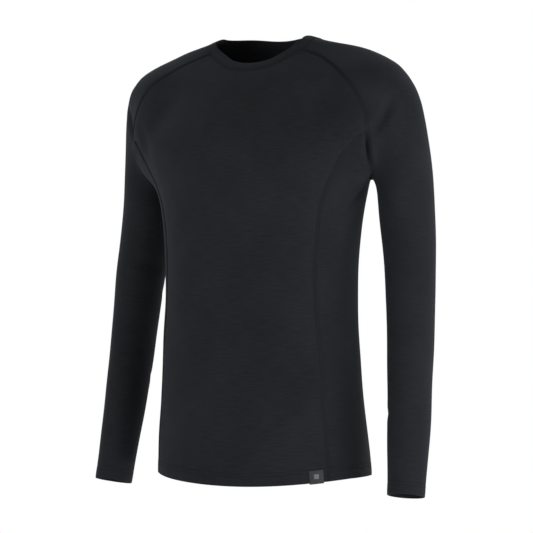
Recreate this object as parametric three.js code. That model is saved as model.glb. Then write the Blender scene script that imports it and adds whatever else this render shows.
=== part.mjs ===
// A long-sleeved base layer top in fine knit, with raglan sleeves, side panels and a round neck.
// It keeps the shape that it has when it is worn: the front faces -Y, the wearer's left is +X and +Z is up.
// The origin is inside the neck, level with the cloth that rests on the shoulders.
//
// One smooth form gives the outer face of all the cloth: level sections of the body and of the arms, blended
// where they meet, less the creases. Each panel is a grid of points laid on that form between its seams,
// and gets its thickness inwards. All sizes are in millimetres.
import * as THREE from "three";

const WALL = 1.5; // thickness of the knit
const HEM_WALL = 2.6; // thickness where a hem is turned up inside
const BAND_WALL = 2.4; // thickness of the folded neckband
const BAND_PROUD = 0.5; // how far the neckband stands outside the panels
const BAND_CLEAR = 0.45; // space between the neck seam and the neckband
const SEAM_GAP = 0.34; // space between the cut edges of two pieces
const HEM_DEPTH = 22; // height of the turned hem of the body
const HEM_STEP = 2.5; // height over which a turned hem thins out
const CUFF_DEPTH = 20; // height of the turned hem of a sleeve
const BAND_HEIGHT = 15; // width of the neckband

// Level sections of the body. squareness is the power of the oval: 2 is an ellipse, more is squarer.
const BODY = [
  { z: 60, halfWidth: 62, front: -22, back: 58, squareness: 2.0 },
  { z: 20, halfWidth: 64.5, front: -28, back: 59, squareness: 2.05 },
  { z: 5, halfWidth: 104.5, front: -34, back: 65, squareness: 2.1 },
  { z: -5, halfWidth: 137, front: -30, back: 70.5, squareness: 2.2 },
  { z: -20, halfWidth: 172.5, front: -35, back: 79.5, squareness: 2.25 },
  { z: -45, halfWidth: 199.5, front: -55, back: 86.5, squareness: 2.5 },
  { z: -90, halfWidth: 188, front: -87.5, back: 105, squareness: 2.3 },
  { z: -150, halfWidth: 189.5, front: -120.5, back: 103, squareness: 2.5 },
  { z: -225, halfWidth: 178, front: -121, back: 104.5, squareness: 2.28 },
  { z: -330, halfWidth: 163, front: -113, back: 96, squareness: 2.25 },
  { z: -440, halfWidth: 162.5, front: -114, back: 93, squareness: 2.35 },
  { z: -560, halfWidth: 169, front: -118.5, back: 104, squareness: 2.37 },
  { z: -640, halfWidth: 175.5, front: -118, back: 113.5, squareness: 2.35 },
  { z: -760, halfWidth: 180, front: -124, back: 120, squareness: 2.3 },
];

// Level sections of the arm: its middle and half of its width and depth.
const ARM = [
  { z: -60, x: 214.5, y: 16, halfWidth: 37.5, halfDepth: 58 },
  { z: -110, x: 207.5, y: 23.5, halfWidth: 57.5, halfDepth: 55 },
  { z: -170, x: 224, y: 31, halfWidth: 47, halfDepth: 56.5 },
  { z: -260, x: 237, y: 33, halfWidth: 41.5, halfDepth: 50.5 },
  { z: -340, x: 246, y: 26, halfWidth: 39.5, halfDepth: 46 },
  { z: -430, x: 252.5, y: 17, halfWidth: 34.5, halfDepth: 46.5 },
  { z: -560, x: 259.5, y: -3, halfWidth: 31.5, halfDepth: 42 },
  { z: -720, x: 267.5, y: -34, halfWidth: 28, halfDepth: 32.5 },
  { z: -800, x: 270, y: -52, halfWidth: 26, halfDepth: 30 },
];
const ARM_CAP = { startZ: -98.7, height: 54.2 }; // the rounded top of the arm

// How widely arm and body run into each other.
const BLEND = { shoulder: 103.5, armpit: 37.3, shoulderZ: -60, armpitZ: -150 };

// The fullness in front of the armpit, where the cloth runs straight from the chest to the arm: an egg shape that
// both run into.
const CHEST_SIDE = { x: 177, y: -30.5, z: -135.3, width: 40.8, depth: 36.5, height: 74.2, blend: 47.4 };

const HEM = { sideZ: -675, dip: 13, halfWidth: 174 }; // the hem is lower by dip at the middle of the front and of the back
const CUFF_Z = -698; // height of the middle of the cuff
const RING_Z = -240; // height at which a sleeve's columns start to turn towards its seams

// Heights of the neck seam, by the angle round the neck's middle from the middle of the front.
const NECK_MIDDLE_Y = 15;
const NECK_SEAM = [
  { degrees: -25, z: -37 },
  { degrees: 0, z: -40 },
  { degrees: 25, z: -37 },
  { degrees: 38, z: -32 },
  { degrees: 48, z: -25.5 },
  { degrees: 58, z: -17.5 },
  { degrees: 65, z: -9 },
  { degrees: 70, z: -0.5 },
  { degrees: 76, z: 6 },
  { degrees: 90, z: 9 },
  { degrees: 120, z: 7 },
  { degrees: 150, z: 2.5 },
  { degrees: 180, z: 0.5 },
  { degrees: 210, z: 2.5 },
];
const RAGLAN_FRONT_DEG = 65; // where the front raglan seam meets the neck seam
const RAGLAN_BACK_DEG = 122;

// Points that the seams of the left half pass near. They are drawn on to the form afterwards.
const UNDERARM = { x: 187, y: 16, z: -212 };
const RAGLAN_FRONT = [
  { x: 112, y: -29, z: -17 },
  { x: 140, y: -38, z: -32 },
  { x: 173, y: -56, z: -54 },
  { x: 194, y: -57, z: -78 },
  { x: 203, y: -55, z: -97 },
  { x: 210, y: -52, z: -117 },
  { x: 213, y: -53, z: -137 },
  { x: 210, y: -48, z: -155 },
  { x: 205, y: -38, z: -174 },
  { x: 199, y: -24, z: -191 },
  { x: 193, y: -8, z: -204 },
  { x: 188, y: 6, z: -211 },
];
const RAGLAN_BACK = [
  { x: 106, y: 68, z: -14 },
  { x: 130, y: 77, z: -32 },
  { x: 152, y: 85, z: -58 },
  { x: 168, y: 86, z: -88 },
  { x: 178, y: 80, z: -112 },
  { x: 180, y: 71, z: -135 },
  { x: 178, y: 61, z: -155 },
  { x: 177, y: 50, z: -173 },
  { x: 179, y: 39, z: -190 },
  { x: 183, y: 28, z: -203 },
];
const SIDE_FRONT = [
  { x: 200, y: -62, z: -152 },
  { x: 194, y: -65, z: -161 },
  { x: 179, y: -71, z: -179 },
  { x: 156, y: -73, z: -220 },
  { x: 143, y: -73, z: -254 },
  { x: 137, y: -73, z: -290 },
  { x: 134, y: -74, z: -345 },
  { x: 135, y: -74, z: -409 },
  { x: 140, y: -73, z: -462 },
  { x: 145, y: -72, z: -517 },
  { x: 148, y: -72, z: -573 },
  { x: 152, y: -70, z: -628 },
];
const SIDE_BACK = [
  { x: 172, y: 62, z: -150 },
  { x: 163, y: 55, z: -168 },
  { x: 157, y: 52, z: -200 },
  { x: 152, y: 51, z: -240 },
  { x: 146, y: 52, z: -300 },
  { x: 144, y: 53, z: -390 },
  { x: 145, y: 55, z: -480 },
  { x: 150, y: 60, z: -580 },
];
const SIDE_HEM = { frontX: 155, frontY: -68, backX: 156, backY: 64 }; // where the side panel's seams end at the hem

const COUNTS = {
  bodyRows: 18,
  raglan: 10,
  underarmHalf: 5,
  halfFrontNeck: 6,
  halfBackNeck: 4,
  shoulderNeck: 7,
  lowerSleeve: 12,
  upperSleeve: 13,
};

// The middle line of a sleeve: heights at which it follows the arm's middle, and its points above the armpit.
const AXIS_HEIGHTS = [-750, -620, -500, -380, -280];
const SHOULDER_AXIS = [
  { x: 227, y: 31, z: -200 },
  { x: 209, y: 24, z: -130 },
  { x: 180, y: 16, z: -86 },
  { x: 136, y: 10, z: -62 },
  { x: 76, y: 6, z: -44 },
];

// Soft troughs in the cloth from one point to another, on the left (1), the right (-1) or both (0).
const FOLDS = [
  { side: 0, x1: 218, y1: -46, z1: -150, x2: 242, y2: -22, z2: -84, depth: 4, width: 13 },
  { side: 1, x1: 212, y1: -54, z1: -138, x2: 183, y2: -70, z2: -178, depth: 2, width: 11 },
  { side: -1, x1: 199, y1: -61, z1: -109, x2: 158, y2: -89, z2: -171, depth: 2, width: 12 },
  { side: 0, x1: 206, y1: 82, z1: -160, x2: 244, y2: 70, z2: -96, depth: 3, width: 13 },
  { side: -1, x1: 208, y1: 26, z1: -352, x2: 240, y2: -20, z2: -334, depth: 3, width: 12 },
  { side: -1, x1: 229, y1: 20, z1: -485, x2: 253, y2: -46, z2: -484, depth: 2, width: 10 },
  { side: 1, x1: 230, y1: -20, z1: -438, x2: 262, y2: -28, z2: -450, depth: 2, width: 11 },
];

const toRadians = THREE.MathUtils.degToRad;
const clamp = THREE.MathUtils.clamp;

// A smooth curve through one column of a table, as a natural cubic spline. Gives [value, slope] at a height, or at
// a place in another column.
function columnOf(rows, key, by = "z") {
  const sorted = [...rows].sort((a, b) => a[by] - b[by]);
  const z = sorted.map((row) => row[by]);
  const v = sorted.map((row) => row[key]);
  const last = z.length - 1;
  const bend = new Array(last + 1).fill(0);
  const carried = new Array(last + 1).fill(0);
  for (let i = 1; i < last; i++) {
    const before = z[i] - z[i - 1];
    const after = z[i + 1] - z[i];
    const share = before / (before + after);
    const pivot = share * bend[i - 1] + 2;
    const turn = (v[i + 1] - v[i]) / after - (v[i] - v[i - 1]) / before;
    bend[i] = (share - 1) / pivot;
    carried[i] = ((6 * turn) / (before + after) - share * carried[i - 1]) / pivot;
  }
  const second = new Array(last + 1).fill(0);
  for (let i = last - 1; i > 0; i--) second[i] = bend[i] * second[i + 1] + carried[i];
  return (height) => {
    const at = clamp(height, z[0], z[last]);
    let i = 0;
    while (i < last - 1 && z[i + 1] < at) i++;
    const step = z[i + 1] - z[i];
    const a = (z[i + 1] - at) / step;
    const b = 1 - a;
    const value =
      a * v[i] +
      b * v[i + 1] +
      (((a ** 3 - a) * second[i] + (b ** 3 - b) * second[i + 1]) * step ** 2) / 6;
    const slope =
      (v[i + 1] - v[i]) / step +
      (((3 * b * b - 1) * second[i + 1] - (3 * a * a - 1) * second[i]) * step) / 6;
    return [value, height === at ? slope : 0];
  };
}

const body = {
  halfWidth: columnOf(BODY, "halfWidth"),
  front: columnOf(BODY, "front"),
  back: columnOf(BODY, "back"),
  squareness: columnOf(BODY, "squareness"),
};
const arm = {
  x: columnOf(ARM, "x"),
  y: columnOf(ARM, "y"),
  halfWidth: columnOf(ARM, "halfWidth"),
  halfDepth: columnOf(ARM, "halfDepth"),
};

// How far a point is outside the body form, in about millimetres: (q - 1) over the slope of q, where q is
// 1 on the oval section at the point's height.
function outsideBody(x, y, z) {
  const [a, aSlope] = body.halfWidth(z);
  const [front, frontSlope] = body.front(z);
  const [back, backSlope] = body.back(z);
  const [n] = body.squareness(z);
  const b = (back - front) / 2;
  const bSlope = (backSlope - frontSlope) / 2;
  const middleSlope = (backSlope + frontSlope) / 2;
  const u = Math.max(Math.abs(x) / a, 1e-6);
  const dy = y - (back + front) / 2;
  const w = Math.max(Math.abs(dy) / b, 1e-6);
  const q = Math.max((u ** n + w ** n) ** (1 / n), 0.02);
  const qx = (u / q) ** (n - 1) / a;
  const qy = (w / q) ** (n - 1) / b;
  const qz = -qx * u * aSlope - qy * w * bSlope - qy * Math.sign(dy) * middleSlope;
  return (q - 1) / Math.hypot(qx, qy, qz);
}

// The same for the nearer arm, which is a tube of oval level sections with a rounded top.
function outsideArm(x, y, z) {
  const [middleX, xSlope] = arm.x(z);
  const [middleY, ySlope] = arm.y(z);
  const [a, aSlope] = arm.halfWidth(z);
  const [b, bSlope] = arm.halfDepth(z);
  const dx = (Math.abs(x) - middleX) / a;
  const dy = (y - middleY) / b;
  const dz = Math.max(z - ARM_CAP.startZ, 0) / ARM_CAP.height;
  const q = Math.max(Math.hypot(dx, dy, dz), 0.02);
  const qx = dx / a / q;
  const qy = dy / b / q;
  const qz =
    dz / ARM_CAP.height / q -
    qx * xSlope -
    qy * ySlope -
    (dx * dx * aSlope) / a / q -
    (dy * dy * bSlope) / b / q;
  return (q - 1) / Math.hypot(qx, qy, qz);
}

// How far a point is outside the fullness in front of the nearer armpit.
function outsideChestSide(x, y, z) {
  const dx = (Math.abs(x) - CHEST_SIDE.x) / CHEST_SIDE.width;
  const dy = (y - CHEST_SIDE.y) / CHEST_SIDE.depth;
  const dz = (z - CHEST_SIDE.z) / CHEST_SIDE.height;
  const q = Math.max(Math.hypot(dx, dy, dz), 0.02);
  return ((q - 1) * q) / Math.hypot(dx / CHEST_SIDE.width, dy / CHEST_SIDE.depth, dz / CHEST_SIDE.height);
}

// The lesser of two distances, rounded off where they are alike, over a width of k.
function runTogether(a, b, k) {
  const alike = Math.max(k - Math.abs(a - b), 0) / k;
  return Math.min(a, b) - (alike ** 3 * k) / 6;
}

// How far the creases raise the cloth at a point: each is a trough with a low ridge on both sides.
function foldHeight(x, y, z) {
  let height = 0;
  for (const f of FOLDS) {
    if (f.side * x < 0) continue;
    const along = [f.x2 - f.x1, f.y2 - f.y1, f.z2 - f.z1];
    const from = [Math.abs(x) - f.x1, y - f.y1, z - f.z1];
    const long = along[0] ** 2 + along[1] ** 2 + along[2] ** 2;
    const t = (from[0] * along[0] + from[1] * along[1] + from[2] * along[2]) / long;
    const s = clamp(t, 0, 1);
    const away2 =
      (from[0] - s * along[0]) ** 2 + (from[1] - s * along[1]) ** 2 + (from[2] - s * along[2]) ** 2;
    const r = away2 / f.width ** 2;
    if (r > 9) continue;
    const fade = Math.sin(Math.PI * clamp(s * 0.9 + 0.05, 0, 1));
    height -= f.depth * fade * (1 - r) * Math.exp(-r);
  }
  return height;
}

// How far a point is outside the cloth: the body, the arm and the fullness beside the chest, run together.
function outside(x, y, z) {
  const s = THREE.MathUtils.smoothstep(z, BLEND.armpitZ, BLEND.shoulderZ);
  const k = BLEND.armpit + (BLEND.shoulder - BLEND.armpit) * s;
  const bodyAndArm = runTogether(outsideBody(x, y, z), outsideArm(x, y, z), k);
  return runTogether(bodyAndArm, outsideChestSide(x, y, z), CHEST_SIDE.blend) - foldHeight(x, y, z);
}

const STEP = 0.4; // step for slopes
function slopeAt(p) {
  return new THREE.Vector3(
    outside(p.x + STEP, p.y, p.z) - outside(p.x - STEP, p.y, p.z),
    outside(p.x, p.y + STEP, p.z) - outside(p.x, p.y - STEP, p.z),
    outside(p.x, p.y, p.z + STEP) - outside(p.x, p.y, p.z - STEP),
  ).divideScalar(2 * STEP);
}

function normalAt(p) {
  return slopeAt(p).normalize();
}

// Draws a point on to the outer face of the cloth by the shortest way.
function onCloth(p, steps = 12) {
  const q = p.clone();
  for (let i = 0; i < steps; i++) {
    const slope = slopeAt(q);
    const way = outside(q.x, q.y, q.z) / Math.max(slope.lengthSq(), 0.05);
    q.addScaledVector(slope, -clamp(way, -12, 12));
  }
  return q;
}

// Where a ray that starts inside first comes out, for one of the fields above.
function exitPoint(field, from, direction) {
  const point = (r) => from.clone().addScaledVector(direction, r);
  const isInside = (r) => field(...point(r)) < 0;
  let far = 6;
  while (isInside(far) && far < 320) far += 6;
  let near = far - 6;
  for (let i = 0; i < 20; i++) {
    const middle = (near + far) / 2;
    if (isInside(middle)) near = middle;
    else far = middle;
  }
  return point(near);
}

// The point of the body at a height and at an angle round the neck's middle, from the front to the wearer's left.
function atAngle(degrees, z) {
  const a = toRadians(degrees);
  return exitPoint(outsideBody, new THREE.Vector3(0, NECK_MIDDLE_Y, z), new THREE.Vector3(Math.sin(a), -Math.cos(a), 0));
}

const neckHeight = columnOf(NECK_SEAM, "z", "degrees");
function neckSeamPoint(degrees) {
  const turn = ((((degrees + 180) % 360) + 360) % 360) - 180;
  return onCloth(atAngle(degrees, neckHeight(Math.abs(turn))[0]));
}

// Points at the given shares of a smooth curve near the given points, drawn on to the cloth.
function seamThrough(points, shares) {
  const curve = new THREE.CatmullRomCurve3(points, false, "centripetal");
  curve.arcLengthDivisions = 400;
  const length = curve.getLength();
  return shares(length).map((share) => onCloth(curve.getPointAt(share)));
}

const evenly = (count) => Array.from({ length: count + 1 }, (_, i) => i / count);
const closerAbove = (share) => 1 - (1 - share) ** 1.25; // rows of a panel get closer towards the armholes

function pointOn(side, { x, y, z }) {
  return new THREE.Vector3(side * x, y, z);
}

function hemHeight(x) {
  return HEM.sideZ - HEM.dip * Math.max(0, 1 - (x / HEM.halfWidth) ** 2);
}

function hemPoint(x, y) {
  return onCloth(new THREE.Vector3(x, y, hemHeight(x)));
}

// The seams of one half. A raglan seam runs from the neck seam to the underarm point and a side seam from the
// hem up to the raglan seam. Its second and third points are at the top of the turned hem.
function seamsOf(side) {
  const underarm = onCloth(pointOn(side, UNDERARM));
  const raglan = (degrees, rows) =>
    seamThrough([neckSeamPoint(side * degrees), ...rows.map((row) => pointOn(side, row)), underarm], () =>
      evenly(COUNTS.raglan + COUNTS.underarmHalf),
    );
  const frontRaglan = raglan(RAGLAN_FRONT_DEG, RAGLAN_FRONT);
  const backRaglan = raglan(RAGLAN_BACK_DEG, RAGLAN_BACK);
  const sideSeam = (x, y, rows, top) =>
    seamThrough([hemPoint(side * x, y), ...rows.map((row) => pointOn(side, row)).reverse(), top], (length) => {
      const start = (HEM_DEPTH + HEM_STEP) / length;
      const free = evenly(COUNTS.bodyRows).map((share) => start + (1 - start) * closerAbove(share));
      return [0, HEM_DEPTH / length, ...free];
    });
  const front = sideSeam(SIDE_HEM.frontX, SIDE_HEM.frontY, SIDE_FRONT, frontRaglan[COUNTS.raglan]);
  const back = sideSeam(SIDE_HEM.backX, SIDE_HEM.backY, SIDE_BACK, backRaglan[COUNTS.raglan]);
  return { frontRaglan, backRaglan, front, back };
}

// Part of the neck seam between two angles.
function neckEdge(from, to, count) {
  return evenly(count).map((share) => neckSeamPoint(THREE.MathUtils.lerp(from, to, share)));
}

// Evenly turned points of the hem, between two points of it.
function hemEdge(from, to, count) {
  const angleOf = (p) => THREE.MathUtils.radToDeg(Math.atan2(p.x, NECK_MIDDLE_Y - p.y));
  const start = angleOf(from);
  let turn = angleOf(to) - start;
  if (turn > 180) turn -= 360;
  if (turn < -180) turn += 360;
  return evenly(count).map((share) => {
    if (share === 0) return from;
    if (share === 1) return to;
    const p = atAngle(start + turn * share, HEM.sideZ);
    return hemPoint(p.x, p.y);
  });
}

// Fills four edges with rows of points on the cloth. bottom and top run the same way, and so do left and right.
// The rows of the turned hem keep their distance from the bottom, and the others are spread up to the top.
function panelGrid(bottom, top, left, right) {
  const columns = bottom.length - 1;
  const rows = left.length - 1;
  const firstFree = 2;
  const grid = [bottom];
  for (let r = 1; r <= firstFree; r++) {
    grid.push(
      bottom.map((p, c) => {
        if (c === 0) return left[r];
        if (c === columns) return right[r];
        const lift = left[r].clone().sub(left[0]).lerp(right[r].clone().sub(right[0]), c / columns);
        return onCloth(p.clone().add(lift));
      }),
    );
  }
  const low = grid[firstFree];
  for (let r = firstFree + 1; r <= rows; r++) {
    const v = closerAbove((r - firstFree) / (rows - firstFree));
    grid.push(
      low.map((p, c) => {
        if (r === rows) return top[c];
        if (c === 0) return left[r];
        if (c === columns) return right[r];
        const u = c / columns;
        const fromEnds = p.clone().lerp(top[c], v);
        const fromSides = left[r].clone().lerp(right[r], u);
        const corners = low[0].clone().lerp(low[columns], u).lerp(top[0].clone().lerp(top[columns], u), v);
        return onCloth(fromEnds.add(fromSides).sub(corners));
      }),
    );
  }
  return grid;
}

// A direction across a seam: square to it and in the cloth.
function across(normal, from, to) {
  return new THREE.Vector3().crossVectors(normal, to.clone().sub(from)).normalize();
}

// Moves the points of a closed edge into the piece by half of the gap between two pieces. isSeam says, for each
// stretch of the edge from its point to the next, whether there is a seam at all.
function insetEdge(edge, normals, isSeam, inward) {
  const count = edge.length;
  return edge.map((p, i) => {
    const before = (i + count - 1) % count;
    const after = (i + 1) % count;
    const a = isSeam[before] ? across(normals[i], edge[before], p).multiplyScalar(inward) : null;
    const b = isSeam[i] ? across(normals[i], p, edge[after]).multiplyScalar(inward) : null;
    if (!a && !b) return p;
    if (!a || !b) return p.clone().addScaledVector(a ?? b, SEAM_GAP / 2);
    return p.clone().addScaledVector(a.clone().add(b), SEAM_GAP / 2 / (1 + a.dot(b)));
  });
}

// The side of a closed edge on which its piece lies: 1 or -1 for across().
function inwardOf(edge, normals, i, inside) {
  const way = across(normals[i], edge[i], edge[(i + 1) % edge.length]);
  return Math.sign(way.dot(inside.clone().sub(edge[i])));
}

// Two triangles for four corners in order, split along the shorter way, which is the same way in both pieces
// that meet at a seam.
function addQuad(indices, points, a, b, c, d) {
  if (points[a].distanceToSquared(points[c]) < points[b].distanceToSquared(points[d])) indices.push(a, b, c, a, c, d);
  else indices.push(a, b, d, b, c, d);
}

// A closed mesh from rows of points, with the last row joined to the first and the last column to the first.
function ringMesh(name, rows) {
  const points = rows.flat();
  const columns = rows[0].length;
  const indices = [];
  const at = (r, c) => (r % rows.length) * columns + (c % columns);
  for (let r = 0; r < rows.length; r++) {
    for (let c = 0; c < columns; c++) {
      addQuad(indices, points, at(r, c), at(r, c + 1), at(r + 1, c + 1), at(r + 1, c));
    }
  }
  return closedMesh(name, points, indices);
}

// A closed mesh from sections along a strip, with flat ends. outline is the section in the plane.
function stripMesh(name, sections, outline) {
  const size = outline.length;
  const last = (sections.length - 1) * size;
  const indices = [];
  for (let i = 0; i < last; i += size) {
    for (let j = 0; j < size; j++) {
      const a = i + j;
      const b = i + ((j + 1) % size);
      indices.push(a, b, b + size, a, b + size, a + size);
    }
  }
  const turn = Math.sign(THREE.ShapeUtils.area(outline));
  for (const face of THREE.ShapeUtils.triangulateShape(outline, [])) {
    const [i, j, k] = THREE.ShapeUtils.area(face.map((n) => outline[n])) * turn > 0 ? face : face.reverse();
    indices.push(k, j, i, last + i, last + j, last + k);
  }
  return closedMesh(name, sections.flat(), indices);
}

// Turns the faces outwards, by the sign of the volume, and makes the mesh.
function closedMesh(name, points, indices) {
  let volume = 0;
  for (let i = 0; i < indices.length; i += 3) {
    volume += points[indices[i]].dot(points[indices[i + 1]].clone().cross(points[indices[i + 2]]));
  }
  if (volume < 0) indices.reverse();
  const geometry = new THREE.BufferGeometry().setFromPoints(points);
  geometry.setIndex(indices);
  geometry.computeVertexNormals();
  const mesh = new THREE.Mesh(geometry, new THREE.MeshStandardMaterial({ color: 0x26282b }));
  mesh.name = name;
  return mesh;
}

const wallAt = (row) => (row < 2 ? HEM_WALL : WALL);

// The wall of a panel: the grid is its outer face, and the inner face lies inwards of it along the form's normals.
function panelWall(name, grid) {
  const rows = grid.length - 1;
  const columns = grid[0].length - 1;
  const order = [];
  for (let c = 0; c < columns; c++) order.push([0, c]);
  for (let r = 0; r < rows; r++) order.push([r, columns]);
  for (let c = columns; c > 0; c--) order.push([rows, c]);
  for (let r = rows; r > 0; r--) order.push([r, 0]);
  const normals = grid.map((row) => row.map(normalAt));
  const edge = order.map(([r, c]) => grid[r][c]);
  const edgeNormals = order.map(([r, c]) => normals[r][c]);
  const isSeam = order.map((_, i) => i >= columns);
  const middle = Math.floor(columns / 2);
  const inward = inwardOf(edge, edgeNormals, middle, grid[1][middle]);
  const moved = insetEdge(edge, edgeNormals, isSeam, inward);
  const outer = grid.map((row) => [...row]);
  order.forEach(([r, c], i) => (outer[r][c] = moved[i]));
  const inner = outer.map((row, r) => row.map((p, c) => p.clone().addScaledVector(normals[r][c], -wallAt(r))));

  const at = (layer, r, c) => layer * (rows + 1) * (columns + 1) + r * (columns + 1) + c;
  const points = [...outer.flat(), ...inner.flat()];
  const indices = [];
  const quad = (...corners) => addQuad(indices, points, ...corners);
  for (let r = 0; r < rows; r++) {
    for (let c = 0; c < columns; c++) {
      quad(at(0, r, c), at(0, r, c + 1), at(0, r + 1, c + 1), at(0, r + 1, c));
      quad(at(1, r, c + 1), at(1, r, c), at(1, r + 1, c), at(1, r + 1, c + 1));
    }
  }
  order.forEach(([r, c], i) => {
    const [r2, c2] = order[(i + 1) % order.length];
    quad(at(0, r2, c2), at(0, r, c), at(1, r, c), at(1, r2, c2));
  });
  return { mesh: closedMesh(name, points, indices), outer, normals };
}

// The wall of a sleeve: rows of closed rings from the cuff up to its seams.
function sleeveWall(name, grid) {
  const normals = grid.map((row) => row.map(normalAt));
  const last = grid.length - 1;
  const inward = inwardOf(grid[last], normals[last], 0, grid[last - 1][0]);
  const outer = [...grid.slice(0, last), insetEdge(grid[last], normals[last], grid[last].map(() => true), inward)];
  const inner = outer.map((row, r) => row.map((p, c) => p.clone().addScaledVector(normals[r][c], -wallAt(r))));
  return ringMesh(name, [...outer, ...inner.reverse()]);
}

// The middle line of a sleeve, from below the cuff up the arm and over inside the shoulder to the neck.
function sleeveAxis(side) {
  const rows = AXIS_HEIGHTS.map((z) => ({ x: arm.x(z)[0], y: arm.y(z)[0], z }));
  const curve = new THREE.CatmullRomCurve3([...rows, ...SHOULDER_AXIS].map((row) => pointOn(side, row)), false, "centripetal");
  curve.arcLengthDivisions = 400;
  return curve;
}

// The point of the cloth beside a place on a sleeve's middle line. degrees turns square to the line, from the
// inner side over the front.
function besideAxis(curve, side, u, degrees) {
  const { front, outer } = frontAndOuter(curve, side, u);
  const a = toRadians(degrees);
  const direction = front.multiplyScalar(Math.sin(a)).addScaledVector(outer, -Math.cos(a));
  return exitPoint(outside, curve.getPointAt(u), direction);
}

// The two directions square to a sleeve's middle line at a place on it: to the front and to the outer side.
function frontAndOuter(curve, side, u) {
  const along = curve.getTangentAt(u);
  const front = new THREE.Vector3(0, -1, 0).addScaledVector(along, along.y).normalize();
  const outer = new THREE.Vector3().crossVectors(along, front).multiplyScalar(side);
  return { front, outer };
}

// Where a point of the top edge lies beside a sleeve's middle line: the nearest place on it and the turn there.
function placeOnAxis(curve, side, p, from) {
  let best = { u: from, distance: Infinity };
  for (let u = from; u <= 1; u += 0.0025) {
    const distance = curve.getPointAt(u).distanceTo(p);
    if (distance < best.distance) best = { u, distance };
  }
  const away = p.clone().sub(curve.getPointAt(best.u));
  const { front, outer } = frontAndOuter(curve, side, best.u);
  return { u: best.u, degrees: THREE.MathUtils.radToDeg(Math.atan2(away.dot(front), -away.dot(outer))) };
}

// The columns of a sleeve run along its middle line up to their points of its top edge. They are evenly turned up
// to the armpit, and above it each one turns gradually to its top point's own place.
function sleeveGrid(side, { frontRaglan, backRaglan }) {
  const neck = neckEdge(side * RAGLAN_FRONT_DEG, side * RAGLAN_BACK_DEG, COUNTS.shoulderNeck);
  const loop = [...[...frontRaglan].reverse(), ...neck.slice(1), ...backRaglan.slice(1, -1)];
  const curve = sleeveAxis(side);
  const shareAt = (z) => {
    let low = 0;
    let high = 0.9;
    for (let i = 0; i < 30; i++) {
      const middle = (low + high) / 2;
      if (curve.getPointAt(middle).z < z) low = middle;
      else high = middle;
    }
    return low;
  };
  const cuff = shareAt(CUFF_Z);
  const turning = shareAt(RING_Z);
  const places = loop.map((p) => placeOnAxis(curve, side, p, turning));
  for (let i = 1; i < places.length; i++) {
    while (places[i].degrees < places[i - 1].degrees - 90) places[i].degrees += 360;
  }
  const length = curve.getLength();
  const start = cuff + (CUFF_DEPTH + HEM_STEP) / length;
  const shares = [cuff, cuff + CUFF_DEPTH / length];
  for (const share of evenly(COUNTS.lowerSleeve)) shares.push(start + (turning - start) * share);
  const even = (i) => places[0].degrees + (360 * i) / places.length;
  const grid = shares.map((u) => places.map((place, i) => besideAxis(curve, side, u, even(i))));
  for (let r = 1; r < COUNTS.upperSleeve; r++) {
    const t = r / COUNTS.upperSleeve;
    const turned = Math.sin((t * Math.PI) / 2); // a column turns early, and comes up to its seam straight
    grid.push(places.map(({ u, degrees }, i) => (
      besideAxis(curve, side, turning + (u - turning) * t, THREE.MathUtils.lerp(even(i), degrees, turned))
    )));
  }
  grid.push(loop);
  return grid;
}

// The neckband is folded double: its section is carried round the neck seam. away is the distance up the cloth
// from the seam and out is the distance from the form.
const BAND_SECTION = [
  { away: BAND_CLEAR, out: BAND_PROUD },
  { away: BAND_HEIGHT * 0.35, out: BAND_PROUD + 0.1 },
  { away: BAND_HEIGHT * 0.7, out: BAND_PROUD + 0.1 },
  { away: BAND_HEIGHT - 1.2, out: BAND_PROUD - 0.1 },
  { away: BAND_HEIGHT, out: BAND_PROUD - BAND_WALL / 2 },
  { away: BAND_HEIGHT - 1.2, out: BAND_PROUD + 0.1 - BAND_WALL },
  { away: BAND_HEIGHT * 0.5, out: BAND_PROUD - BAND_WALL },
  { away: BAND_CLEAR, out: BAND_PROUD - BAND_WALL },
];
function neckband() {
  const stretches = [
    neckEdge(-RAGLAN_FRONT_DEG, RAGLAN_FRONT_DEG, 2 * COUNTS.halfFrontNeck),
    neckEdge(RAGLAN_FRONT_DEG, RAGLAN_BACK_DEG, COUNTS.shoulderNeck),
    neckEdge(RAGLAN_BACK_DEG, 360 - RAGLAN_BACK_DEG, 2 * COUNTS.halfBackNeck),
    neckEdge(360 - RAGLAN_BACK_DEG, 360 - RAGLAN_FRONT_DEG, COUNTS.shoulderNeck),
  ];
  const loop = stretches.flatMap((stretch) => stretch.slice(0, -1));
  const rows = loop.map((p, i) => {
    const before = loop[(i + loop.length - 1) % loop.length];
    const after = loop[(i + 1) % loop.length];
    const seamNormal = normalAt(p);
    const up = across(seamNormal, before, after);
    if (up.z < 0) up.negate();
    return BAND_SECTION.map(({ away, out }) => {
      if (away < 1) return p.clone().addScaledVector(up, away).addScaledVector(seamNormal, out);
      const q = onCloth(p.clone().addScaledVector(up, away));
      return q.addScaledVector(normalAt(q), out);
    });
  });
  return ringMesh("neckband", rows);
}

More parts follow.
